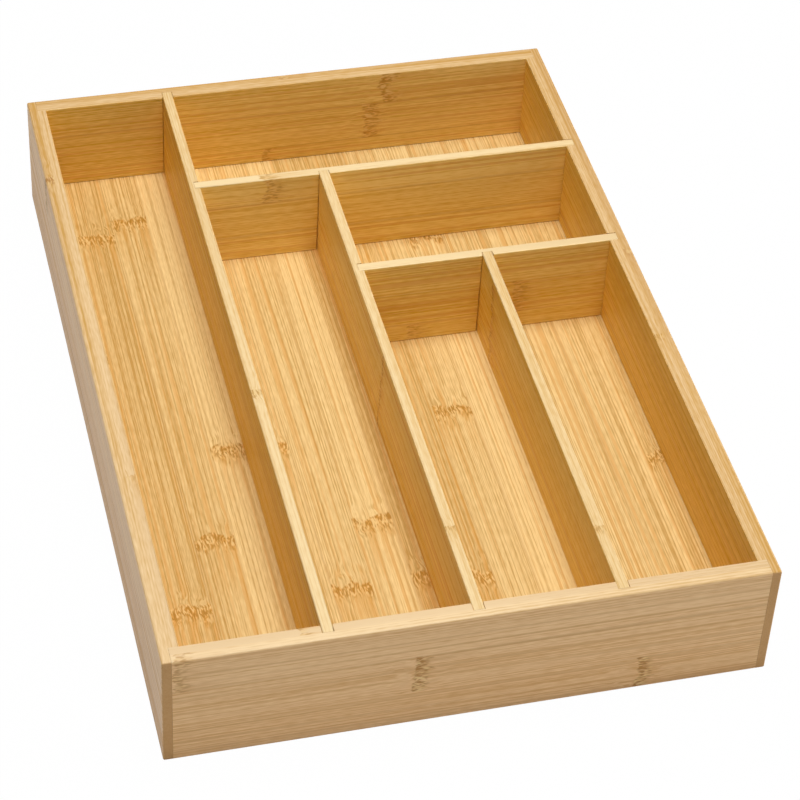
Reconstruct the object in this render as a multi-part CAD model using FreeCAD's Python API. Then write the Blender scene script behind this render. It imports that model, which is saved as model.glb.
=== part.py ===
import FreeCAD, Part
import os

# A bamboo cutlery tray that lies loose in a kitchen drawer. Four walls stand round a floor panel, and
# five dividers part the inside into six compartments. Nothing moves: every board is let into its
# neighbours and glued.
# Millimetres. X runs across the tray, Y from its front to its back, Z up. The origin is the middle of
# the underside. A span is a pair of numbers, low then high, along one axis.

# Outside of the tray
tray_width = 315.0
tray_length = 456.0
tray_height = 71.0

# Thickness of the boards
wall_thickness = 10.0
divider_thickness = 6.0
floor_thickness = 5.0

# The tray stands on the lower edges of its walls, with the floor panel's underside this far above.
floor_lift = 9.5

# Clear sizes of the compartments. The one in the front right corner takes the width that is left, and
# the ones along the front take the length that is left.
long_bay_width = 70.0
centre_bay_width = 70.0
inner_bay_width = 68.5
rear_bay_depth = 83.0
middle_bay_depth = 83.0

# How deep each joint is cut into the board that receives
corner_rebate_depth = 5.0
floor_groove_depth = 4.5
wall_housing_depth = 5.2
divider_housing_depth = 3.0

# A housing is a little wider down to this depth, which leaves a thin dark line round a divider's end.
mouth_depth = 0.9

# Clearances, each on one side of the piece that goes in
corner_play = 0.08
floor_edge_play = 0.5
floor_top_play = 0.4
housing_side_play = 0.1
housing_end_play = 0.1
mouth_side_play = 0.3

# Radii of the edges that are sanded round
outer_edge_radius = 1.0
rim_edge_radius = 0.4
divider_edge_radius = 0.6

# A cutter runs this far past the face that it opens.
cutter_overrun = 5.0

# Two places count as the same when they are this near to each other.
same_place = 1e-6


def span_after(start, size):
    """Give the span that begins at a place and is as long as the size."""
    return (start, start + size)


def span_before(end, size):
    """Give the span that ends at a place and is as long as the size."""
    return (end - size, end)


def grown(span, margin):
    """Give the span made longer at both ends by a margin, or shorter by a negative one."""
    return (span[0] - margin, span[1] + margin)


def block(x, y, z):
    """Make a solid block that fills three spans."""
    corner = FreeCAD.Vector(x[0], y[0], z[0])
    return Part.makeBox(x[1] - x[0], y[1] - y[0], z[1] - z[0], corner)


# The spans that the tray and the well inside its walls fill
tray_x = (-tray_width / 2, tray_width / 2)
tray_y = (-tray_length / 2, tray_length / 2)
tray_z = (0.0, tray_height)
well_x = grown(tray_x, -wall_thickness)
well_y = grown(tray_y, -wall_thickness)
floor_z = span_after(floor_lift, floor_thickness)

# Where the dividers stand, worked out from the compartments between them
long_divider_x = span_after(well_x[0] + long_bay_width, divider_thickness)
centre_divider_x = span_after(long_divider_x[1] + centre_bay_width, divider_thickness)
short_divider_x = span_after(centre_divider_x[1] + inner_bay_width, divider_thickness)
rear_cross_y = span_before(well_y[1] - rear_bay_depth, divider_thickness)
front_cross_y = span_before(rear_cross_y[0] - middle_bay_depth, divider_thickness)

# The end walls reach across the tray and a little way into the side walls.
end_wall_x = grown(tray_x, -corner_rebate_depth)


def wall_ring():
    """Make the ring that the four walls form together, with its sanded edges and the floor's groove."""
    outside = block(tray_x, tray_y, tray_z)
    outside = outside.makeFillet(outer_edge_radius, outside.Edges)
    ring = outside.cut(block(well_x, well_y, grown(tray_z, cutter_overrun)))

    def on_rim(vertex):
        level = abs(vertex.Z - tray_height) < same_place
        return level and abs(vertex.X) < well_x[1] + same_place and abs(vertex.Y) < well_y[1] + same_place

    rim = [edge for edge in ring.Edges if all(on_rim(vertex) for vertex in edge.Vertexes)]
    ring = ring.makeFillet(rim_edge_radius, rim)
    groove_z = (floor_z[0], floor_z[1] + floor_top_play)
    groove = block(grown(well_x, floor_groove_depth), grown(well_y, floor_groove_depth), groove_z)
    return ring.cut(groove)


def end_wall(ring, y):
    """Cut the front or the back wall, whose ends go into the side walls' rebates, out of the ring."""
    return ring.common(block(grown(end_wall_x, -corner_play), y, tray_z))


def side_wall(ring, x):
    """Cut the left or the right wall out of the ring, with a rebate at each end for the end walls."""
    wall = ring.common(block(x, tray_y, tray_z))
    rebate_z = grown(tray_z, cutter_overrun)
    front_rebate_y = (tray_y[0] - cutter_overrun, well_y[0])
    back_rebate_y = (well_y[1], tray_y[1] + cutter_overrun)
    for rebate_y in (front_rebate_y, back_rebate_y):
        wall = wall.cut(block(end_wall_x, rebate_y, rebate_z))
    return wall


def floor_panel():
    """Make the floor panel, which lies on the lower lip of the groove with room round its edges."""
    reach = floor_groove_depth - floor_edge_play
    return block(grown(well_x, reach), grown(well_y, reach), floor_z)


class Divider:
    """A board that stands on the floor panel, flush with the rim, its ends let into other boards.

    runs_along: the axis that it runs along, "X" or "Y".
    thickness_span: the span that its thickness fills on the other axis.
    clear_span: the span between the faces of the two boards that it ends in.
    depths: how deep the housing is in each of those two boards.
    hosts: the names of those two boards.
    """

    def __init__(self, runs_along, thickness_span, clear_span, depths, hosts):
        self.runs_along = runs_along
        self.thickness_span = thickness_span
        self.clear_span = clear_span
        self.housed_span = (clear_span[0] - depths[0], clear_span[1] + depths[1])
        self.hosts = hosts

    def filled(self, length_span, thickness_span, z):
        """Make the block that fills these spans, with the length along the divider's own axis."""
        if self.runs_along == "X":
            return block(length_span, thickness_span, z)
        return block(thickness_span, length_span, z)

    def board(self):
        """Make the divider, with its two long top edges sanded round."""
        length_span = grown(self.housed_span, -housing_end_play)
        length = length_span[1] - length_span[0]
        board = self.filled(length_span, self.thickness_span, (floor_z[1], tray_height))
        long_top_edges = [
            edge
            for edge in board.Edges
            if abs(edge.Length - length) < same_place and edge.BoundBox.ZMin > tray_height - same_place
        ]
        return board.makeFillet(divider_edge_radius, long_top_edges)

    def housing(self):
        """Make the cutter for both housings, which are open at the rim and end at the floor panel."""
        z = (floor_z[1], tray_height + cutter_overrun)
        snug = self.filled(self.housed_span, grown(self.thickness_span, housing_side_play), z)
        mouth_span = grown(self.clear_span, mouth_depth)
        mouths = self.filled(mouth_span, grown(self.thickness_span, mouth_side_play), z)
        return snug.fuse(mouths)


dividers = {
    "long_divider": Divider(
        "Y",
        long_divider_x,
        clear_span=well_y,
        depths=(wall_housing_depth, wall_housing_depth),
        hosts=("front_wall", "back_wall"),
    ),
    "rear_cross_divider": Divider(
        "X",
        rear_cross_y,
        clear_span=(long_divider_x[1], well_x[1]),
        depths=(divider_housing_depth, wall_housing_depth),
        hosts=("long_divider", "right_wall"),
    ),
    "centre_divider": Divider(
        "Y",
        centre_divider_x,
        clear_span=(well_y[0], rear_cross_y[0]),
        depths=(wall_housing_depth, divider_housing_depth),
        hosts=("front_wall", "rear_cross_divider"),
    ),
    "front_cross_divider": Divider(
        "X",
        front_cross_y,
        clear_span=(centre_divider_x[1], well_x[1]),
        depths=(divider_housing_depth, wall_housing_depth),
        hosts=("centre_divider", "right_wall"),
    ),
    "short_divider": Divider(
        "Y",
        short_divider_x,
        clear_span=(well_y[0], front_cross_y[0]),
        depths=(wall_housing_depth, divider_housing_depth),
        hosts=("front_wall", "front_cross_divider"),
    ),
}


def build_boards():
    """Make every board of the tray, each under the name of its piece."""
    ring = wall_ring()
    boards = {
        "front_wall": end_wall(ring, (tray_y[0], well_y[0])),
        "back_wall": end_wall(ring, (well_y[1], tray_y[1])),
        "left_wall": side_wall(ring, (tray_x[0], well_x[0])),
        "right_wall": side_wall(ring, (well_x[1], tray_x[1])),
        "floor_panel": floor_panel(),
    }
    for name, divider in dividers.items():
        boards[name] = divider.board()
    for divider in dividers.values():
        for host in divider.hosts:
            boards[host] = boards[host].cut(divider.housing())
    return boards


os.makedirs("parts", exist_ok=True)
for name, board in build_boards().items():
    board.exportStep(f"parts/{name}.step")
    size = board.BoundBox
    print(name, len(board.Solids), "solid", f"{size.XLength:.2f} x {size.YLength:.2f} x {size.ZLength:.2f}")
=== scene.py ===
"""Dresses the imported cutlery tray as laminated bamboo, in a plain white studio.

Everything is in metres in the frame's own axes: X runs across the tray, Y from its front to its back
and Z up, from the middle of its underside. Sizes of the bamboo are written in millimetres, because
that is how a maker gives them, and one function turns them to metres.
"""

import logging
import math
import random
from dataclasses import dataclass, replace
from enum import Enum

import bmesh
import bpy
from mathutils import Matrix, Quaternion, Vector


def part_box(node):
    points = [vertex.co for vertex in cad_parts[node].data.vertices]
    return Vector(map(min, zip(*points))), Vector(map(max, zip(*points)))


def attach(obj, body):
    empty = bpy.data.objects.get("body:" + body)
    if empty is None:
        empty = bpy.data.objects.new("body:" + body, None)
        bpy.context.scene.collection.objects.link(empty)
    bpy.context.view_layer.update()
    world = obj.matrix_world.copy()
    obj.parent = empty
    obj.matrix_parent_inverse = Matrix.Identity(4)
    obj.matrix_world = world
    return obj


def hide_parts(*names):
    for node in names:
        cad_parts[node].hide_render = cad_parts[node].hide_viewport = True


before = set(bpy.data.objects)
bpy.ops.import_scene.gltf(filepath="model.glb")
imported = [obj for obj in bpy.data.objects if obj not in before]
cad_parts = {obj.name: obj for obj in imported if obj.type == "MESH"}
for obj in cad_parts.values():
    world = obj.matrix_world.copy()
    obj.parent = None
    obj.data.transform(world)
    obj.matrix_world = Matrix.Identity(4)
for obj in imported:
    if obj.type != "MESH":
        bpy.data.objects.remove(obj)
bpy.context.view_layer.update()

BODY = "root"
MILLIMETRES_IN_A_METRE = 1000.0
log = logging.getLogger("cutlery_tray")

# What a noise is on average, and the shade halfway between a deep colour and a pale one
HALFWAY = 0.5

# The sRGB curve: a straight line up to its limit, and a shifted power above that
SRGB_LIMIT = 0.04045
SRGB_SLOPE = 12.92
SRGB_SHIFT = 0.055
SRGB_POWER = 2.4
HIGHEST_BYTE = 255.0

# A value for a node's input socket: a plain one, or a node or a socket that it is linked from
Value = float | tuple[float, ...] | bpy.types.Node | bpy.types.NodeSocket


def metres(millimetres: float) -> float:
    """Turn a size in millimetres into metres."""
    return millimetres / MILLIMETRES_IN_A_METRE


def linear_colour(code: str) -> tuple[float, float, float, float]:
    """Turn an sRGB hex colour into the linear colour that a shader socket takes.

    Args:
        code: the colour as "#RRGGBB".

    Returns:
        Red, green, blue and an alpha of one.
    """
    parts = [int(code[place : place + 2], 16) / HIGHEST_BYTE for place in (1, 3, 5)]
    red, green, blue = (
        part / SRGB_SLOPE
        if part <= SRGB_LIMIT
        else ((part + SRGB_SHIFT) / (1.0 + SRGB_SHIFT)) ** SRGB_POWER
        for part in parts
    )
    return (red, green, blue, 1.0)


def add_node(
    tree: bpy.types.NodeTree,
    kind: str,
    inputs: dict[int | str, Value] | None = None,
    **settings: object,
) -> bpy.types.Node:
    """Add a shader node with its settings, and fill or link its input sockets.

    Args:
        tree: the node tree that gets the node.
        kind: the node's type without its "ShaderNode" prefix.
        inputs: for each input socket in use, by name or number, its value. A node stands for its
            first output in use.
        settings: the node's own properties.

    Returns:
        The node.
    """
    made = tree.nodes.new("ShaderNode" + kind)
    for name, value in settings.items():
        setattr(made, name, value)
    sockets = [socket for socket in made.inputs if socket.enabled]
    names = [socket.name for socket in sockets]
    for place, value in (inputs or {}).items():
        socket = sockets[place if isinstance(place, int) else names.index(place)]
        if isinstance(value, bpy.types.Node):
            value = next(output for output in value.outputs if output.enabled)
        if isinstance(value, bpy.types.NodeSocket):
            tree.links.new(value, socket)
        else:
            socket.default_value = value
    return made


class Axis(Enum):
    """The frame's axes, each with its place in a vector."""

    ACROSS_TRAY = 0
    ALONG_TRAY = 1
    UP = 2


class Tone(Enum):
    """How pale or deep one strip of bamboo is beside the others, from -1 to 1."""

    PALEST = 1.0
    PALE = 0.7
    LIGHT = 0.35
    PLAIN = 0.0
    WARM = -0.35
    DEEP = -0.7
    DEEPEST = -1.0


@dataclass(frozen=True)
class Figure:
    """One scale of the pattern that bamboo's fibres draw.

    length: how long its lines are, in millimetres.
    width: how wide they are, in millimetres.
    weight: how much they change the colour, or how far they move what they bend.
    relief: how far they stand up, or sink in where it is negative.
    detail: how many finer layers of noise it has.
    middle: how strong they are where they leave the colour as it is.
    """

    length: float
    width: float
    weight: float = 1.0
    relief: float = 0.0
    detail: float = 0.0
    middle: float = HALFWAY


@dataclass(frozen=True)
class Ramp:
    """A way from one value to another.

    start: where it leaves the first value.
    end: where it reaches the second one.
    first: the value up to the start.
    second: the value from the end on.
    """

    start: float
    end: float
    first: float = 0.0
    second: float = 1.0

    def inputs(self, source: Value) -> dict[int | str, Value]:
        """Give the inputs of a node that takes a source along the ramp."""
        return {0: source, 1: self.start, 2: self.end, 3: self.first, 4: self.second}


@dataclass(frozen=True)
class Band:
    """How the band of dashes at a knuckle is drawn.

    sway: the slow waves that shift all of it.
    ragged: the quicker ones that make its start and its end ragged.
    dashes: the noise that its dashes come out of.
    lines: the noise that the golden lines behind it come out of.
    head_raggedness, tail_raggedness: how ragged its start and its end are.
    head, tail: how it begins and how it ends, in shares of its length.
    trail: how the golden lines end, in shares of its length.
    dark, pale, tinted: how the dark dashes, the pale ones and the golden lines come out of noise.
    band_tint, trail_tint: how golden the band and the lines behind it are.
    """

    sway: Figure = Figure(60.0, 9.0, 0.9)
    ragged: Figure = Figure(30.0, 1.3, detail=1.0)
    dashes: Figure = Figure(4.0, 0.9, detail=1.0)
    lines: Figure = Figure(80.0, 2.6)
    head_raggedness: float = 0.5
    tail_raggedness: float = -1.6
    head: Ramp = Ramp(-0.1, 0.05)
    tail: Ramp = Ramp(0.35, 1.2, 1.0, 0.0)
    trail: Ramp = Ramp(0.5, 5.0, 1.0, 0.0)
    dark: Ramp = Ramp(0.45, 0.62, 0.0, 0.9)
    pale: Ramp = Ramp(0.38, 0.48, 0.7, 0.0)
    tinted: Ramp = Ramp(0.42, 0.7, 0.0, 0.6)
    band_tint: float = 0.35
    trail_tint: float = 0.8


@dataclass(frozen=True)
class Bamboo:
    """Laminated bamboo, sanded and given one thin coat of matt oil.

    Its fibres run the whole length of a strip as fine dark and pale lines, each strip has its own
    tone, and a knuckle crosses it as a band of short broken dashes. Sanding leaves the long edges a
    little paler than the faces, and the ends, where the fibres are cut across, take up more oil and
    are darker. The real fibres are 0.2 to 0.4 mm wide, too fine to show, and are drawn about three
    times as wide.

    Every face, edge and scar colour is between a deep one and a pale one.

    face_deep, face_pale: the colours of a strip's face.
    edge_deep, edge_pale: the colours of its sanded long edges.
    end: the colour of its cut ends.
    golden: the colour of its strongest streaks, and of the lines round a knuckle.
    seam: the colour of the thin line where it meets the next strip.
    scar_deep, scar_pale: the colours of a knuckle's dashes.
    roughness: how matt the oil is, from 0 to 1.
    fibre_roughness, scar_roughness: how much that changes on the pale fibres and the dark dashes.
    gloss: how strongly the oil mirrors.
    relief: how high a figure of relief 1 stands, in millimetres.
    scar_relief: how far the dark dashes stand up, or sink in where it is negative.
    face_tone, edge_tone: how much a strip's tone changes its face and its long edges.
    contrast: how much the figures change the shade.
    edge_contrast: how much of that shows on the long edges.
    seam_sway: how much a seam comes and goes along the strip.
    drift, bundles, streaks, fibres, pores: the figures that shade it.
    vessels: the long dark lines, where a slow noise passes its middle.
    wander, swirl: how the fibres wander everywhere, and swerve near a knuckle.
    fibre_ramp, vessel_ramp, golden_ramp: how fibres, vessels and golden streaks come out of noise.
    swirl_ramp: how the swerve dies away from a knuckle, in millimetres.
    edge_ramp, end_ramp: how the colour of an edge or an end comes in as the surface turns.
    seam_ramp: how a seam comes in towards the strip's border.
    band: how the band at a knuckle is drawn.
    """

    name: str
    face_deep: str
    face_pale: str
    edge_deep: str
    edge_pale: str
    end: str = "#C89A62"
    golden: str = "#DDA145"
    seam: str = "#B98542"
    scar_deep: str = "#B8842C"
    scar_pale: str = "#F7D998"
    roughness: float = 0.52
    fibre_roughness: float = -0.25
    scar_roughness: float = 0.1
    gloss: float = 0.28
    relief: float = 0.03
    scar_relief: float = -0.4
    face_tone: float = 0.25
    edge_tone: float = 0.5
    contrast: float = 1.0
    edge_contrast: float = 0.65
    seam_sway: float = 0.4
    drift: Figure = Figure(300.0, 9.0, 0.2)
    bundles: Figure = Figure(250.0, 4.5, 0.17)
    streaks: Figure = Figure(350.0, 2.0, 0.14, 0.5)
    fibres: Figure = Figure(350.0, 0.85, 0.5, 0.8, middle=0.62)
    pores: Figure = Figure(6.0, 0.75, 0.6, -0.3)
    vessels: Figure = Figure(450.0, 1.7, -0.28, middle=0.25)
    wander: Figure = Figure(260.0, 40.0, 1.2)
    swirl: Figure = Figure(12.0, 6.0, 4.5, detail=1.0)
    fibre_ramp: Ramp = Ramp(0.32, 0.56)
    vessel_ramp: Ramp = Ramp(0.0, 0.035, 1.0, 0.0)
    golden_ramp: Ramp = Ramp(0.55, 0.75, 0.0, 0.5)
    swirl_ramp: Ramp = Ramp(2.0, 24.0, 1.0, 0.0)
    edge_ramp: Ramp = Ramp(0.3, 0.9)
    end_ramp: Ramp = Ramp(0.3, 0.9, 0.0, 0.85)
    seam_ramp: Ramp = Ramp(0.93, 1.02, 0.0, 0.25)
    band: Band = Band()

    def material(self) -> bpy.types.Material:
        """Make the material, or find it if it is already made.

        Returns:
            The material, which reads the attributes that a board writes on its mesh.
        """
        material = bpy.data.materials.get(self.name)
        if material is None:
            material = bpy.data.materials.new(self.name)
            material.use_nodes = True
            material.node_tree.nodes.clear()
            self.fill(material.node_tree)
        return material

    def fill(self, tree: bpy.types.NodeTree) -> None:
        """Fill the material's node tree.

        Args:
            tree: the empty node tree.
        """
        grain = add_node(tree, "Attribute", attribute_name="grain").outputs["Vector"]
        strip = add_node(tree, "Attribute", attribute_name="strip").outputs["Vector"]
        knuckle = add_node(tree, "Attribute", attribute_name="knuckle").outputs["Vector"]
        side = add_node(tree, "Attribute", attribute_name="side").outputs["Fac"]
        tone, ending, edging = add_node(tree, "SeparateXYZ", {0: strip}).outputs
        away, reach, strength = add_node(tree, "SeparateXYZ", {0: knuckle}).outputs
        grain = self.bent(tree, grain, away, strength)
        figures = (self.drift, self.bundles, self.streaks, self.fibres, self.pores)
        drift, bundles, streaks, fibres, pores = (self.noise(tree, grain, figure) for figure in figures)
        fibres = add_node(tree, "MapRange", self.fibre_ramp.inputs(fibres), interpolation_type="SMOOTHSTEP")
        lines = list(zip((drift, bundles, streaks, fibres, pores), figures))
        shade = self.shade(tree, grain, lines)
        board = self.board_colour(tree, shade, streaks, tone, edging)
        side = add_node(tree, "Math", {0: side}, operation="ABSOLUTE")
        side = self.weighed(tree, 0.0, (side, 0.0, 1.0), (drift, HALFWAY, self.seam_sway))
        seam = add_node(tree, "MapRange", self.seam_ramp.inputs(side))
        ending = add_node(tree, "MapRange", self.end_ramp.inputs(ending), interpolation_type="SMOOTHSTEP")
        dark, pale, tint = self.scar(tree, grain, away, reach, strength)
        colour = self.laid(
            tree,
            board,
            (seam, self.seam),
            (tint, self.golden),
            (pale, self.scar_pale),
            (dark, self.scar_deep),
            (ending, self.end),
        )
        height = self.weighed(
            tree,
            0.0,
            (dark, 0.0, self.scar_relief),
            *[(noise, HALFWAY, figure.relief) for noise, figure in lines],
        )
        bump = add_node(tree, "Bump", {"Height": height, "Distance": metres(self.relief)})
        rough = self.weighed(
            tree, self.roughness, (fibres, HALFWAY, self.fibre_roughness), (dark, 0.0, self.scar_roughness)
        )
        shader = add_node(
            tree,
            "BsdfPrincipled",
            {"Base Color": colour, "Roughness": rough, "Normal": bump, "Specular IOR Level": self.gloss},
        )
        add_node(tree, "OutputMaterial", {"Surface": shader})

    def shade(self, tree: bpy.types.NodeTree, grain: Value, lines: list[tuple[Value, Figure]]) -> Value:
        """Add up how the lines of every figure and the vessels shade the bamboo.

        Args:
            tree: the node tree that gets the nodes.
            grain: the place along the bent grain, across it and through the board.
            lines: for each figure, its noise and the figure.

        Returns:
            The shade, which is 0 for the deep colour and 1 for the pale one.
        """
        vessels = self.weighed(tree, 0.0, (self.noise(tree, grain, self.vessels), HALFWAY, 1.0))
        vessels = add_node(tree, "Math", {0: vessels}, operation="ABSOLUTE")
        vessels = add_node(
            tree, "MapRange", self.vessel_ramp.inputs(vessels), interpolation_type="SMOOTHSTEP"
        )
        terms = [
            (noise, figure.middle, self.contrast * figure.weight)
            for noise, figure in [(vessels, self.vessels), *lines]
        ]
        return self.weighed(tree, HALFWAY, *terms)

    def board_colour(
        self, tree: bpy.types.NodeTree, shade: Value, streaks: Value, tone: Value, edging: Value
    ) -> Value:
        """Mix the colour of a strip's face with that of its sanded long edges.

        Args:
            tree: the node tree that gets the nodes.
            shade: the shade, which is 0 for the deep colour and 1 for the pale one.
            streaks: the noise of the streaks, the strongest of which are golden.
            tone: the strip's tone.
            edging: how far the surface looks across the grain.

        Returns:
            The colour of the board, without its seams, knuckles and cut ends.
        """
        golden = add_node(tree, "MapRange", self.golden_ramp.inputs(streaks), interpolation_type="SMOOTHSTEP")
        face = self.weighed(tree, 0.0, (shade, 0.0, 1.0), (tone, 0.0, self.face_tone))
        face = self.laid(tree, linear_colour(self.face_deep), (face, self.face_pale), (golden, self.golden))
        edge = self.weighed(tree, HALFWAY, (shade, HALFWAY, self.edge_contrast), (tone, 0.0, self.edge_tone))
        edge = self.laid(tree, linear_colour(self.edge_deep), (edge, self.edge_pale))
        edging = add_node(tree, "MapRange", self.edge_ramp.inputs(edging), interpolation_type="SMOOTHSTEP")
        return add_node(tree, "Mix", {"Factor": edging, "A": face, "B": edge}, data_type="RGBA")

    def noise(self, tree: bpy.types.NodeTree, grain: Value, figure: Figure) -> Value:
        """Add noise that is drawn out along the grain.

        Args:
            tree: the node tree that gets the nodes.
            grain: the place along the grain, across it and through the board, in millimetres.
            figure: the size of its lines.

        Returns:
            The noise, about 0.5 on average.
        """
        scale = (1.0 / figure.length, 1.0 / figure.width, 1.0 / figure.width)
        place = add_node(tree, "VectorMath", {0: grain, 1: scale}, operation="MULTIPLY")
        return add_node(tree, "TexNoise", {"Vector": place, "Scale": 1.0, "Detail": figure.detail})

    def weighed(self, tree: bpy.types.NodeTree, start: float, *terms: tuple[Value, float, float]) -> Value:
        """Add a sum of values, each taken from its middle and weighed.

        Args:
            tree: the node tree that gets the nodes.
            start: what the sum starts from.
            terms: for each value, its source, its middle and its weight.

        Returns:
            The sum.
        """
        total = start - sum(middle * weight for _, middle, weight in terms)
        for source, _, weight in terms:
            total = add_node(tree, "Math", {0: source, 1: weight, 2: total}, operation="MULTIPLY_ADD")
        return total

    def product(self, tree: bpy.types.NodeTree, first: Value, *others: Value) -> Value:
        """Add a product of values.

        Args:
            tree: the node tree that gets the nodes.
            first: the first value.
            others: the others.

        Returns:
            The product.
        """
        for other in others:
            first = add_node(tree, "Math", {0: first, 1: other}, operation="MULTIPLY")
        return first

    def laid(self, tree: bpy.types.NodeTree, ground: Value, *coats: tuple[Value, str]) -> Value:
        """Lay colours over a ground, one after another.

        Args:
            tree: the node tree that gets the nodes.
            ground: the colour at the bottom.
            coats: for each colour over it, how much of it covers what is below and its sRGB code.

        Returns:
            The colour that shows.
        """
        for cover, code in coats:
            ground = add_node(
                tree, "Mix", {"Factor": cover, "A": ground, "B": linear_colour(code)}, data_type="RGBA"
            )
        return ground

    def bent(self, tree: bpy.types.NodeTree, grain: Value, away: Value, strength: Value) -> Value:
        """Let the fibres wander a little, and swerve where they near a knuckle.

        Args:
            tree: the node tree that gets the nodes.
            grain: the place along the straight grain, across it and through the board.
            away: the distance from the nearest knuckle.
            strength: how much that knuckle stands out.

        Returns:
            The place along the bent grain, across it and through the board.
        """
        far = add_node(tree, "Math", {0: away}, operation="ABSOLUTE")
        near = add_node(tree, "MapRange", self.swirl_ramp.inputs(far), interpolation_type="SMOOTHSTEP")
        swirl = self.weighed(tree, 0.0, (self.noise(tree, grain, self.swirl), HALFWAY, self.swirl.weight))
        swirl = self.product(tree, swirl, near, strength)
        wander = self.noise(tree, grain, self.wander)
        shift = self.weighed(tree, 0.0, (swirl, 0.0, 1.0), (wander, HALFWAY, self.wander.weight))
        offset = add_node(tree, "CombineXYZ", {1: shift, 2: shift})
        return add_node(tree, "VectorMath", {0: grain, 1: offset}, operation="ADD")

    def scar(
        self, tree: bpy.types.NodeTree, grain: Value, away: Value, reach: Value, strength: Value
    ) -> tuple[Value, Value, Value]:
        """Draw the band of dashes at a knuckle, with a ragged start and a tail that thins out.

        Args:
            tree: the node tree that gets the nodes.
            grain: the place along the bent grain, across it and through the board.
            away: the distance from the nearest knuckle.
            reach: how long that knuckle's band is.
            strength: how much it stands out.

        Returns:
            How much the dark dashes, the pale ones and the golden tint cover.
        """
        band = self.band
        figures = (band.sway, band.ragged, band.dashes, band.lines)
        sway, ragged, dashes, lines = (self.noise(tree, grain, figure) for figure in figures)
        part = add_node(tree, "Math", {0: away, 1: reach}, operation="DIVIDE")
        part = self.weighed(tree, 0.0, (part, 0.0, 1.0), (sway, HALFWAY, band.sway.weight))
        head = self.weighed(tree, 0.0, (part, 0.0, 1.0), (ragged, HALFWAY, band.head_raggedness))
        tail = self.weighed(tree, 0.0, (part, 0.0, 1.0), (ragged, HALFWAY, band.tail_raggedness))
        head, short, long, dark, pale, lines = (
            add_node(tree, "MapRange", ramp.inputs(source), interpolation_type="SMOOTHSTEP")
            for ramp, source in (
                (band.head, head),
                (band.tail, tail),
                (band.trail, tail),
                (band.dark, dashes),
                (band.pale, dashes),
                (band.tinted, lines),
            )
        )
        cover = self.product(tree, head, short, strength)
        trail = self.product(tree, head, long, lines, strength)
        tint = self.weighed(tree, 0.0, (cover, 0.0, band.band_tint), (trail, 0.0, band.trail_tint))
        return self.product(tree, dark, cover), self.product(tree, pale, cover), tint


# The faces of the walls and dividers show more of the short pores than the floor does.
WALL_PORES = replace(Bamboo.pores, weight=1.0)

# The outer plies of the walls. Their paler, greyer colours are partly their own strips and partly a
# painted whitish sheen of the white surroundings on the outer faces
OUTER_PLY_PAINTED_SHEEN = Bamboo(
    "oiled_bamboo_outer_ply_painted_sheen",
    "#E3B175",
    "#FFD7A2",
    "#D7A558",
    "#FFE0B0",
    golden="#D8A66C",
    seam="#C4925A",
    scar_deep="#BA8444",
    gloss=0.15,
    contrast=0.8,
    bundles=replace(Bamboo.bundles, weight=0.1),
    streaks=replace(Bamboo.streaks, weight=0.08),
    fibres=replace(Bamboo.fibres, weight=0.65),
    pores=WALL_PORES,
)

# Their inner plies, of which the back wall's is from a duller stem
INNER_PLY = Bamboo(
    "oiled_bamboo_inner_ply", "#DEAD31", "#FFD978", "#D7A558", "#FFE0B0", contrast=0.8, pores=WALL_PORES
)
BACK_PLY = replace(INNER_PLY, name="oiled_bamboo_back_ply", face_deep="#DCAF3E", face_pale="#FFDC8A")

# The floor's strips
FLOOR_STRIP = Bamboo("oiled_bamboo_floor_strip", "#CCA054", "#FCDF9F", "#D9A860", "#FFE0B4", face_tone=0.3)

# The dividers, of which the cross ones and the centre one are from a duller stem
DIVIDER_PLY = Bamboo(
    "oiled_bamboo_divider", "#E1B235", "#FFDD7E", "#E0B062", "#FFE2AC", contrast=0.9, pores=WALL_PORES
)
DULL_DIVIDER_PLY = replace(
    DIVIDER_PLY, name="oiled_bamboo_cross_divider", face_deep="#E1B440", face_pale="#FFDF8C"
)


class Showing(Enum):
    """Where a knuckle comes to the surface of its strip."""

    ALL_ROUND = "all round"
    ON_FACE = "on the strip's face only"
    ON_EDGE = "on the strip's sanded long edge only"


@dataclass(frozen=True)
class Knuckle:
    """The scar of one joint of the bamboo stem, which crosses a strip as a band of broken fibres.

    along: where it is along the strip, in millimetres from the tray's middle.
    length: how far the band reaches along the strip, in millimetres.
    strength: how much it stands out, from 0 to 1.
    showing: where it comes to the surface.
    """

    along: float
    length: float
    strength: float = 1.0
    showing: Showing = Showing.ALL_ROUND

    def seen_strength(self, on_edge: bool) -> float:
        """Tell how much it stands out on the strip's edge, or else on its face."""
        hidden = Showing.ON_FACE if on_edge else Showing.ON_EDGE
        return 0.0 if self.showing is hidden else self.strength


# What stands for the nearest knuckle on a strip that has none: it is too far away to show.
NO_KNUCKLE = Knuckle(along=10000.0, length=9.0, strength=0.0)


@dataclass(frozen=True)
class Strip:
    """One strip of a ply: its tone and the knuckles on it, in order along it."""

    tone: Tone = Tone.PLAIN
    knuckles: tuple[Knuckle, ...] = ()

    def halfway_places(self) -> list[float]:
        """Give the places halfway between one knuckle and the next, in metres."""
        pairs = zip(self.knuckles, self.knuckles[1:])
        return [metres((near.along + far.along) / 2) for near, far in pairs]

    def nearest_knuckle(self, along: float) -> Knuckle:
        """Give the knuckle nearest to a place in metres, or one that doesn't show where there is none."""
        return min(self.knuckles, key=lambda one: abs(metres(one.along) - along), default=NO_KNUCKLE)


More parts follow.
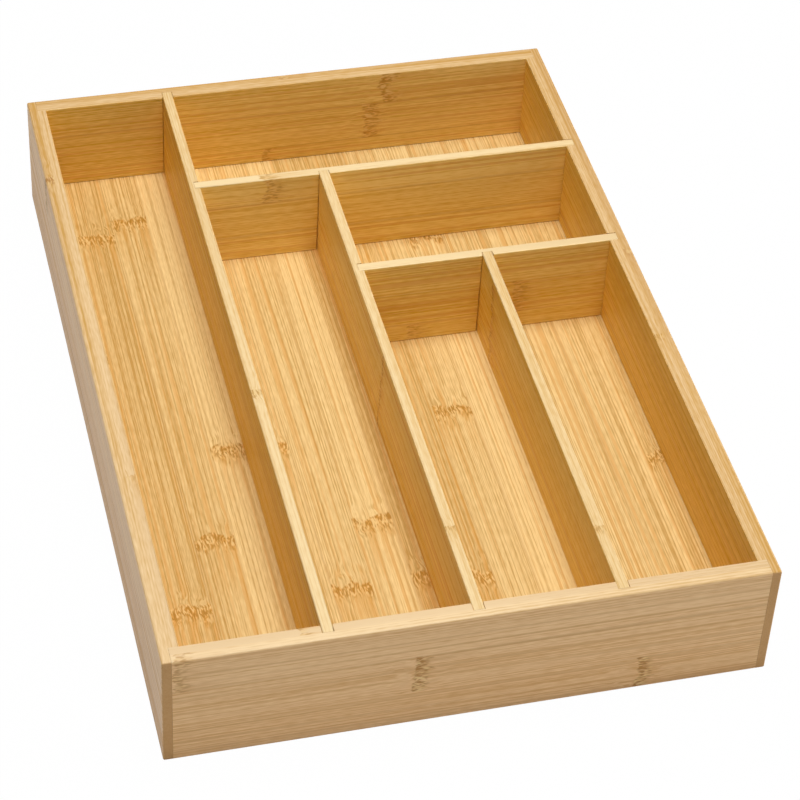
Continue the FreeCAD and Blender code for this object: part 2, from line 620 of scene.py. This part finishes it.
@dataclass(frozen=True)
class Ply:
    """One layer of a board, made of strips glued edge to edge.

    bamboo: what it is made of.
    first_border: the border between the first strip and the second, in millimetres.
    pitch: the width of each strip after the first, in millimetres.
    strips: the strips, in the direction of the axis that they lie along side by side.
    edge: the tone of its sanded long edges.
    face_fade: how much paler its faces are at the end up the grain's axis than at the other end.
    edge_highlight_fade: the same for its sanded long edges. It is a painted highlight, which makes the tops
    paler towards the tray's front or left end where it is negative.
    """

    bamboo: Bamboo
    first_border: float
    pitch: float
    strips: tuple[Strip, ...]
    edge: Tone = Tone.PLAIN
    face_fade: float = 0.0
    edge_highlight_fade: float = 0.0

    def borders(self) -> list[float]:
        """Give the places where one strip meets the next, in metres."""
        return [metres(self.first_border + self.pitch * step) for step in range(len(self.strips) - 1)]

    def side(self, strip_number: int, across: float) -> float:
        """Tell how far a place in metres is across a strip: 0 in its middle, and 1 or -1 at its borders."""
        middle = metres(self.first_border + self.pitch * (strip_number - 0.5))
        return (across - middle) / metres(self.pitch / 2)


@dataclass
class Board:
    """A board laminated from strips of bamboo, shown in place of one solid of the frame.

    node: the frame's node that it stands for, whose shape it takes.
    slot: the name of a material slot of the record; not used.
    grain: the axis that its strips run along.
    across: the axis that its strips lie side by side along.
    through: the axis of its thickness.
    plies: its plies, in the direction of its thickness.
    tail: 1 where a knuckle's tail runs up the grain's axis, and -1 where it runs down.
    arris: how much is sanded off the sharp edges of the face that looks down the axis of the
        thickness, in millimetres.
    merge_distance: how near two corners are to be one, in metres.
    flat_angle: how little two faces turn to be one, in radians.
    sharp_angle: how much two faces turn at a sharp edge, in radians.
    least_look: how far a face looks down an axis at least, to be square to it.
    least_edging: how far a face looks across the grain at least, to be a long edge.
    longest_shift: how far the pattern is moved for a strip at most, in millimetres.
    """

    node: str
    slot: str
    grain: Axis
    across: Axis
    through: Axis
    plies: tuple[Ply, ...]
    tail: int = 1
    arris: float = 0.0
    merge_distance: float = 1e-6
    flat_angle: float = math.radians(0.5)
    sharp_angle: float = 1.2
    least_look: float = 0.999
    least_edging: float = 0.5
    longest_shift: float = 400.0

    def build(self) -> bpy.types.Object:
        """Make the board's piece from the solid's shape, split it into strips and dress it.

        Returns:
            The piece, which rides with the tray and stands for the solid.
        """
        shape = bmesh.new()
        shape.from_mesh(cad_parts[self.node].data)
        bmesh.ops.remove_doubles(shape, verts=shape.verts, dist=self.merge_distance)
        bmesh.ops.dissolve_limit(
            shape, angle_limit=self.flat_angle, verts=shape.verts, edges=shape.edges
        )
        if self.arris:
            self.sand(shape)
        self.split(shape)
        self.mark(shape)
        mesh = bpy.data.meshes.new(self.node + "_bamboo")
        for ply in self.plies:
            mesh.materials.append(ply.bamboo.material())
        shape.to_mesh(mesh)
        shape.free()
        piece = bpy.data.objects.new(self.node + "_bamboo", mesh)
        bpy.context.scene.collection.objects.link(piece)
        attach(piece, BODY)
        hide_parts(self.node)
        return piece

    def sand(self, shape: bmesh.types.BMesh) -> None:
        """Take the sharp edges off the face that looks down the axis of the thickness.

        Args:
            shape: the board's shape, not yet split.
        """
        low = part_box(self.node)[0][self.through.value]
        edges = set()
        for face in shape.faces:
            on_side = abs(face.calc_center_median()[self.through.value] - low) < self.merge_distance
            if on_side and face.normal[self.through.value] < -self.least_look:
                edges.update(
                    edge for edge in face.edges if edge.calc_face_angle_signed(0.0) > self.sharp_angle
                )
        bmesh.ops.bevel(
            shape,
            geom=list(edges),
            offset=metres(self.arris),
            affect="EDGES",
            segments=1,
            profile=0.5,
            material=-1,
        )

    def split(self, shape: bmesh.types.BMesh) -> None:
        """Cut the shape where plies meet, where strips meet and halfway between knuckles.

        Args:
            shape: the board's shape, whose outline stays as it is.
        """
        for border in self.ply_borders():
            self.cut(shape, list(shape.faces), self.through, border)
        for number, ply in enumerate(self.plies):
            for border in ply.borders():
                self.cut(shape, self.faces_of(shape, number), self.across, border)
            for place, strip in enumerate(ply.strips):
                for halfway in strip.halfway_places():
                    self.cut(shape, self.faces_of(shape, number, place), self.grain, halfway)

    def ply_borders(self) -> list[float]:
        """Find where one ply meets the next.

        Returns:
            The places on the axis of the thickness, in metres.
        """
        low, high = (corner[self.through.value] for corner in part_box(self.node))
        count = len(self.plies)
        return [low + (high - low) * step / count for step in range(1, count)]

    def cut(
        self,
        shape: bmesh.types.BMesh,
        faces: list[bmesh.types.BMFace],
        axis: Axis,
        place: float,
    ) -> None:
        """Cut faces in two along a plane square to an axis.

        Args:
            shape: the board's shape.
            faces: the faces that are cut.
            axis: the axis that the plane is square to.
            place: where the plane is on that axis, in metres.
        """
        corners = {corner for face in faces for corner in face.verts}
        edges = {edge for face in faces for edge in face.edges}
        direction = Vector((0.0, 0.0, 0.0))
        direction[axis.value] = 1.0
        bmesh.ops.bisect_plane(
            shape,
            geom=[*corners, *edges, *faces],
            dist=self.merge_distance,
            plane_co=direction * place,
            plane_no=direction,
        )

    def faces_of(
        self, shape: bmesh.types.BMesh, ply_number: int, strip_number: int | None = None
    ) -> list[bmesh.types.BMFace]:
        """Give the faces of one ply, or of one strip of it.

        Args:
            shape: the board's shape.
            ply_number: the ply's number, counted from 0.
            strip_number: the strip's number in the ply, or None for the whole ply.

        Returns:
            The faces.
        """
        borders = self.ply_borders()
        chosen = []
        for face in shape.faces:
            ply, strip = self.owner(face, borders)
            if ply == ply_number and strip_number in (None, strip):
                chosen.append(face)
        return chosen

    def owner(self, face: bmesh.types.BMFace, ply_borders: list[float]) -> tuple[int, int]:
        """Tell which ply and which strip of it a face belongs to.

        Args:
            face: a face of the board.
            ply_borders: the places where one ply meets the next.

        Returns:
            The ply's number and the strip's number, counted from 0.
        """
        middle = face.calc_center_median()
        ply = sum(border < middle[self.through.value] for border in ply_borders)
        strip = sum(border < middle[self.across.value] for border in self.plies[ply].borders())
        return ply, strip

    def mark(self, shape: bmesh.types.BMesh) -> None:
        """Write on each corner what the bamboo's material reads.

        "grain" is the place along the grain, across it and through the board, in millimetres, moved
        for each strip. "strip" is the tone, with its fade along the board, which on the long edges is
        a painted highlight, and how far the face looks along the grain and across it. "knuckle" is the
        distance from the nearest knuckle and that knuckle's length, in millimetres, and its strength.
        "side" is 0 in a strip's middle and 1 or -1 at its borders.

        Args:
            shape: the board's shape, already split.
        """
        grain_layer = shape.loops.layers.float_vector.new("grain")
        strip_layer = shape.loops.layers.float_vector.new("strip")
        knuckle_layer = shape.loops.layers.float_vector.new("knuckle")
        side_layer = shape.loops.layers.float.new("side")
        order = [self.grain.value, self.across.value, self.through.value]
        borders = self.ply_borders()
        low, high = (corner[self.grain.value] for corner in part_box(self.node))
        middle = (low + high) / 2
        length = high - low
        for face in shape.faces:
            ply_number, strip_number = self.owner(face, borders)
            ply = self.plies[ply_number]
            strip = ply.strips[strip_number]
            draw = random.Random(f"{self.node} {ply_number} {strip_number}")
            shift = Vector([draw.uniform(0.0, self.longest_shift) for _ in order])
            looks_along, looks_across = (abs(face.normal[axis]) for axis in order[:2])
            on_edge = looks_across > self.least_edging
            tone = ply.edge if on_edge else strip.tone
            # On the long edges the fade is a painted highlight, paler towards the tray's front or left end
            fade = ply.edge_highlight_fade if on_edge else ply.face_fade
            knuckle = strip.nearest_knuckle(face.calc_center_median()[self.grain.value])
            strength = knuckle.seen_strength(on_edge)
            face.material_index = ply_number
            for corner in face.loops:
                along, across, through = (corner.vert.co[axis] for axis in order)
                corner[grain_layer] = Vector((along, across, through)) * MILLIMETRES_IN_A_METRE + shift
                faded = tone.value + fade * (along - middle) / length
                corner[strip_layer] = (faded, looks_along, looks_across)
                away = (along * MILLIMETRES_IN_A_METRE - knuckle.along) * self.tail
                corner[knuckle_layer] = (away, knuckle.length, strength)
                corner[side_layer] = ply.side(strip_number, across)


@dataclass
class FloorPanel:
    """The floor: one layer of strips that run from the front to the back.

    slot: the name of the record's material slot, which it hands to its board.
    pitch: the width of a strip, in millimetres.
    first_border: the border between the first strip and the second, in millimetres.
    knuckle_length: how far a knuckle's band reaches, in millimetres.
    """

    slot: str = "bamboo_floor"
    pitch: float = 21.3
    first_border: float = -138.5
    knuckle_length: float = 12.0

    def boards(self) -> list[Board]:
        """List the one board, with the knuckles of each strip from the left to the right.

        Returns:
            The board.
        """
        layout = (
            (Tone.PLAIN, (60.0,)),
            (Tone.DEEP, (-142.0, 166.0)),
            (Tone.WARM, (-93.0, 177.0)),
            (Tone.LIGHT, (-27.0,)),
            (Tone.PLAIN, (-31.0,)),
            (Tone.PLAIN, (-141.0, 190.0)),
            (Tone.LIGHT, (-96.0,)),
            (Tone.DEEP, (-141.0, 150.0)),
            (Tone.DEEP, (-146.0, 100.0)),
            (Tone.PLAIN, (-20.0,)),
            (Tone.PALE, (-190.0, 133.0)),
            (Tone.PLAIN, (60.0,)),
            (Tone.LIGHT, ()),
            (Tone.PLAIN, (180.0,)),
            (Tone.WARM, (-77.0,)),
        )
        strips = tuple(
            Strip(tone, tuple(Knuckle(place, self.knuckle_length) for place in places))
            for tone, places in layout
        )
        ply = Ply(FLOOR_STRIP, self.first_border, self.pitch, strips)
        axes = (Axis.ALONG_TRAY, Axis.ACROSS_TRAY, Axis.UP)
        return [Board("floor_panel", self.slot, *axes, (ply,), tail=-1)]


@dataclass
class Walls:
    """The four walls, each of an outer and an inner ply with three strips one above the other.

    slot: the name of the record's material slot, which they hand to their boards.
    pitch: the height of a strip, in millimetres.
    """

    slot: str = "bamboo_wall"
    pitch: float = 25.5

    def boards(self) -> list[Board]:
        """List the walls.

        Returns:
            The front, back, left and right wall.
        """
        front_outer = Ply(
            OUTER_PLY_PAINTED_SHEEN,
            first_border=23.0,
            pitch=self.pitch,
            strips=(
                Strip(Tone.WARM, (Knuckle(87.0, 7.5),)),
                Strip(Tone.PLAIN, (Knuckle(-30.5, 7.5, 0.95),)),
                Strip(Tone.LIGHT, (Knuckle(-151.5, 8.0, 0.6),)),
            ),
            edge=Tone.PALE,
            # Painted highlight: the top edge paler towards the left end
            edge_highlight_fade=-0.9,
        )
        front_inner = Ply(
            INNER_PLY,
            first_border=20.0,
            pitch=self.pitch,
            strips=(Strip(), Strip(), Strip(Tone.LIGHT, (Knuckle(-88.0, 6.0, 0.5, Showing.ON_EDGE),))),
            edge=Tone.PALEST,
            # Painted highlight: the top edge paler towards the left end
            edge_highlight_fade=-0.7,
        )
        back_inner = Ply(
            BACK_PLY,
            first_border=24.0,
            pitch=self.pitch,
            strips=(
                Strip(Tone.PLAIN, (Knuckle(-16.0, 7.0, 0.7),)),
                Strip(Tone.PLAIN, (Knuckle(47.0, 11.0, 0.75),)),
                Strip(Tone.PLAIN, (Knuckle(57.0, 11.0, 0.75, Showing.ON_FACE),)),
            ),
            edge=Tone.WARM,
            face_fade=1.6,
        )
        back_outer = Ply(
            OUTER_PLY_PAINTED_SHEEN,
            first_border=20.0,
            pitch=self.pitch,
            strips=(Strip(), Strip(), Strip(Tone.PLAIN, (Knuckle(-5.0, 6.0, 0.6),))),
            edge=Tone.DEEP,
        )
        left_outer = Ply(
            OUTER_PLY_PAINTED_SHEEN,
            first_border=22.0,
            pitch=self.pitch,
            strips=(Strip(Tone.DEEPEST), Strip(), Strip(Tone.PALE, (Knuckle(154.8, 7.0),))),
            edge=Tone.WARM,
            # Painted highlight: the top edge paler towards the front end
            edge_highlight_fade=-0.9,
        )
        left_inner = Ply(
            INNER_PLY,
            first_border=21.0,
            pitch=self.pitch,
            strips=(Strip(), Strip(), Strip(Tone.PLAIN, (Knuckle(-96.0, 6.0, 0.5, Showing.ON_EDGE),))),
            # Painted highlight: the top edge paler towards the front end
            edge_highlight_fade=-0.4,
        )
        right_inner = Ply(
            INNER_PLY,
            first_border=22.0,
            pitch=self.pitch,
            strips=(
                Strip(Tone.WARM),
                Strip(Tone.WARM),
                Strip(Tone.WARM, (Knuckle(-42.0, 6.0, 0.6, Showing.ON_EDGE),)),
            ),
            edge=Tone.WARM,
        )
        right_outer = Ply(
            OUTER_PLY_PAINTED_SHEEN,
            first_border=20.0,
            pitch=self.pitch,
            strips=(Strip(), Strip(), Strip(Tone.WARM, (Knuckle(30.0, 6.0, 0.5),))),
            edge=Tone.DEEP,
        )
        crosswise = (Axis.ACROSS_TRAY, Axis.UP, Axis.ALONG_TRAY)
        lengthwise = (Axis.ALONG_TRAY, Axis.UP, Axis.ACROSS_TRAY)
        return [
            Board("front_wall", self.slot, *crosswise, (front_outer, front_inner)),
            Board("back_wall", self.slot, *crosswise, (back_inner, back_outer)),
            Board("left_wall", self.slot, *lengthwise, (left_outer, left_inner), tail=-1),
            Board("right_wall", self.slot, *lengthwise, (right_inner, right_outer), tail=-1),
        ]


@dataclass
class Dividers:
    """The five dividers, each of one ply with three strips one above the other.

    slot: the name of the record's material slot, which they hand to their boards.
    pitch: the height of a strip, in millimetres.
    arris: how much is sanded off the sharp edges of the front of a cross divider, in millimetres.
    """

    slot: str = "bamboo_divider"
    pitch: float = 23.0
    arris: float = 0.5

    def boards(self) -> list[Board]:
        """List the dividers.

        Returns:
            The long one, the rear cross one, the centre one, the front cross one and the short one.
        """
        long_ply = Ply(
            DIVIDER_PLY,
            first_border=26.0,
            pitch=self.pitch,
            strips=(
                Strip(Tone.WARM),
                Strip(Tone.WARM),
                Strip(Tone.WARM, (Knuckle(-46.0, 7.0, 0.8, Showing.ON_EDGE),)),
            ),
            edge=Tone.LIGHT,
            # Painted highlight: the top edge paler towards the front end
            edge_highlight_fade=-0.7,
        )
        rear_cross_ply = Ply(
            DULL_DIVIDER_PLY,
            first_border=31.0,
            pitch=self.pitch,
            strips=(
                Strip(Tone.LIGHT),
                Strip(Tone.LIGHT),
                Strip(Tone.PALE, (Knuckle(-34.0, 10.0, 0.65),)),
            ),
            edge=Tone.PALEST,
            # Painted highlight: the top edge paler towards the left end
            edge_highlight_fade=-1.0,
        )
        centre_ply = Ply(
            DULL_DIVIDER_PLY,
            first_border=28.0,
            pitch=self.pitch,
            strips=(
                Strip(Tone.PALE, (Knuckle(-25.0, 3.0, showing=Showing.ON_FACE),)),
                Strip(Tone.PALE, (Knuckle(-27.0, 3.0, showing=Showing.ON_FACE),)),
                Strip(
                    Tone.PALE,
                    (
                        Knuckle(-165.0, 6.0, 0.6, Showing.ON_EDGE),
                        Knuckle(-30.0, 3.0, showing=Showing.ON_FACE),
                    ),
                ),
            ),
            edge=Tone.LIGHT,
        )
        front_cross_ply = Ply(
            DULL_DIVIDER_PLY,
            first_border=26.0,
            pitch=self.pitch,
            strips=(
                Strip(Tone.WARM, (Knuckle(32.0, 9.0, 0.6),)),
                Strip(Tone.WARM, (Knuckle(92.0, 9.0, 0.6),)),
                Strip(Tone.LIGHT),
            ),
            edge=Tone.PALEST,
        )
        short_ply = Ply(
            DIVIDER_PLY,
            first_border=27.0,
            pitch=self.pitch,
            strips=(
                Strip(Tone.PLAIN, (Knuckle(15.0, 5.0, 0.8, Showing.ON_FACE),)),
                Strip(Tone.WARM, (Knuckle(16.5, 5.0, 0.8, Showing.ON_FACE),)),
                Strip(
                    Tone.PLAIN,
                    (
                        Knuckle(-178.0, 6.0, 0.6, Showing.ON_EDGE),
                        Knuckle(18.0, 5.0, 0.8, Showing.ON_FACE),
                    ),
                ),
            ),
        )
        crosswise = (Axis.ACROSS_TRAY, Axis.UP, Axis.ALONG_TRAY)
        lengthwise = (Axis.ALONG_TRAY, Axis.UP, Axis.ACROSS_TRAY)
        return [
            Board("long_divider", self.slot, *lengthwise, (long_ply,), tail=-1),
            Board("rear_cross_divider", self.slot, *crosswise, (rear_cross_ply,), arris=self.arris),
            Board("centre_divider", self.slot, *lengthwise, (centre_ply,), tail=-1),
            Board("front_cross_divider", self.slot, *crosswise, (front_cross_ply,), arris=self.arris),
            Board("short_divider", self.slot, *lengthwise, (short_ply,), tail=-1),
        ]


@dataclass(frozen=True)
class SoftBox:
    """A square lamp behind a white cloth, aimed at the middle of the floor.

    name: what it is called.
    place: where its middle hangs, in metres.
    side: how wide it is, in metres.
    power: what it sends out, in watts.
    """

    name: str
    place: tuple[float, float, float]
    side: float
    power: float

    def hang(self) -> None:
        """Hang the lamp."""
        lamp = bpy.data.lights.new(self.name, "AREA")
        lamp.shape = "SQUARE"
        lamp.size = self.side
        lamp.energy = self.power
        hung = bpy.data.objects.new(self.name, lamp)
        hung.location = self.place
        hung.rotation_mode = "QUATERNION"
        hung.rotation_quaternion = (-Vector(self.place)).to_track_quat("-Z", "Y")
        bpy.context.scene.collection.objects.link(hung)


@dataclass(frozen=True)
class Studio:
    """A pale floor, white surroundings and soft boxes round the tray.

    floor_side: how wide the floor is, in metres.
    floor_colour: its colour in the lamps' light.
    floor_glow: how much of its whiteness the floor has of its own where it is seen.
    wall_glow: how much light the room's white walls send back, from 0 to 1.
    soft_boxes: the lamps.
    """

    floor_side: float = 8.0
    floor_colour: str = "#F4F4F4"
    floor_glow: float = 0.99
    wall_glow: float = 0.14
    soft_boxes: tuple[SoftBox, ...] = (
        SoftBox("ceiling_soft_box", (0.0, 0.0, 5.0), 1.2, 65.0),
        SoftBox("near_soft_box", (0.0, 0.0, 1.5), 0.7, 10.6),
        SoftBox("low_front_soft_box", (0.0, -3.0, 0.9), 1.2, 6.7),
        SoftBox("low_back_soft_box", (0.0, 3.0, 0.9), 1.2, 3.6),
        SoftBox("low_right_soft_box", (3.0, 0.0, 0.9), 1.2, 39.0),
    )

    def add_floor(self) -> None:
        """Lay the floor, which glows white to the camera and still takes the tray's shadow."""
        shape = bmesh.new()
        bmesh.ops.create_grid(shape, x_segments=1, y_segments=1, size=self.floor_side / 2)
        mesh = bpy.data.meshes.new("studio_floor")
        shape.to_mesh(mesh)
        shape.free()
        floor = bpy.data.objects.new("studio_floor", mesh)
        bpy.context.scene.collection.objects.link(floor)
        material = bpy.data.materials.new("matt_white_floor")
        material.use_nodes = True
        tree = material.node_tree
        tree.nodes.clear()
        matt = add_node(tree, "BsdfDiffuse", {"Color": linear_colour(self.floor_colour)})
        glow = add_node(tree, "Emission", {"Strength": 1.0})
        share = add_node(tree, "Math", {0: self.seen_ray(tree), 1: self.floor_glow}, operation="MULTIPLY")
        mixed = add_node(tree, "MixShader", {0: share, 1: matt, 2: glow})
        add_node(tree, "OutputMaterial", {"Surface": mixed})
        mesh.materials.append(material)

    def seen_ray(self, tree: bpy.types.NodeTree) -> Value:
        """Add what is 1 for a ray that shows the surroundings, straight or in a gloss, and else 0.

        Args:
            tree: the node tree that gets the nodes.

        Returns:
            The node that carries it.
        """
        path = add_node(tree, "LightPath")
        seen, *others = (path.outputs[f"Is {kind} Ray"] for kind in ("Camera", "Glossy", "Transmission"))
        for other in others:
            seen = add_node(tree, "Math", {0: seen, 1: other}, operation="MAXIMUM")
        return seen

    def add_surroundings(self) -> None:
        """Make the world white where it is seen, and dimmer where it lights the tray."""
        world = bpy.data.worlds.new("white_surroundings")
        world.use_nodes = True
        tree = world.node_tree
        tree.nodes.clear()
        strength = add_node(tree, "Math", {0: self.seen_ray(tree), 1: self.wall_glow}, operation="MAXIMUM")
        glow = add_node(tree, "Background", {"Strength": strength})
        add_node(tree, "OutputWorld", {"Surface": glow})
        bpy.context.scene.world = world

    def build(self) -> None:
        """Lay the floor, surround it and hang every soft box."""
        self.add_floor()
        self.add_surroundings()
        for soft_box in self.soft_boxes:
            soft_box.hang()


@dataclass(frozen=True)
class PhotoCamera:
    """A camera at the photograph's angle, given by the point on the floor that it aims at.

    aim: that point, in metres.
    distance: how far away from it the camera is, in metres.
    azimuth: how far to the right of the tray's front it stands, in radians.
    elevation: how high it stands, in radians.
    roll: how far it is turned about its own axis, in radians.
    lens: its focal length, in millimetres.
    sensor: the width of its sensor, in millimetres.
    """

    aim: tuple[float, float, float] = (0.02005, 0.00668, 0.0)
    distance: float = 1.5967
    azimuth: float = math.radians(-15.861)
    elevation: float = math.radians(42.492)
    roll: float = math.radians(3.336)
    lens: float = 126.71
    sensor: float = 36.0

    def add(self) -> None:
        """Put the camera in the scene as the one that renders."""
        back = Vector(
            (
                math.sin(self.azimuth) * math.cos(self.elevation),
                -math.cos(self.azimuth) * math.cos(self.elevation),
                math.sin(self.elevation),
            )
        )
        lens = bpy.data.cameras.new("photo_camera")
        lens.sensor_width = self.sensor
        lens.lens = self.lens
        camera = bpy.data.objects.new("photo_camera", lens)
        camera.rotation_mode = "QUATERNION"
        level = (-back).to_track_quat("-Z", "Y")
        camera.rotation_quaternion = level @ Quaternion((0.0, 0.0, 1.0), self.roll)
        camera.location = Vector(self.aim) + back * self.distance
        bpy.context.scene.collection.objects.link(camera)
        bpy.context.scene.camera = camera


def main() -> None:
    """Build the studio and the tray's pieces, and report each one."""
    logging.basicConfig(level=logging.INFO, format="%(message)s")
    Studio().build()
    PhotoCamera().add()
    bpy.context.scene.view_settings.view_transform = "Standard"
    for assembly in (Walls(), FloorPanel(), Dividers()):
        for board in assembly.boards():
            piece = board.build()
            log.info("%s: %d faces, %d plies", piece.name, len(piece.data.polygons), len(board.plies))


if __name__ == "__main__":
    main()
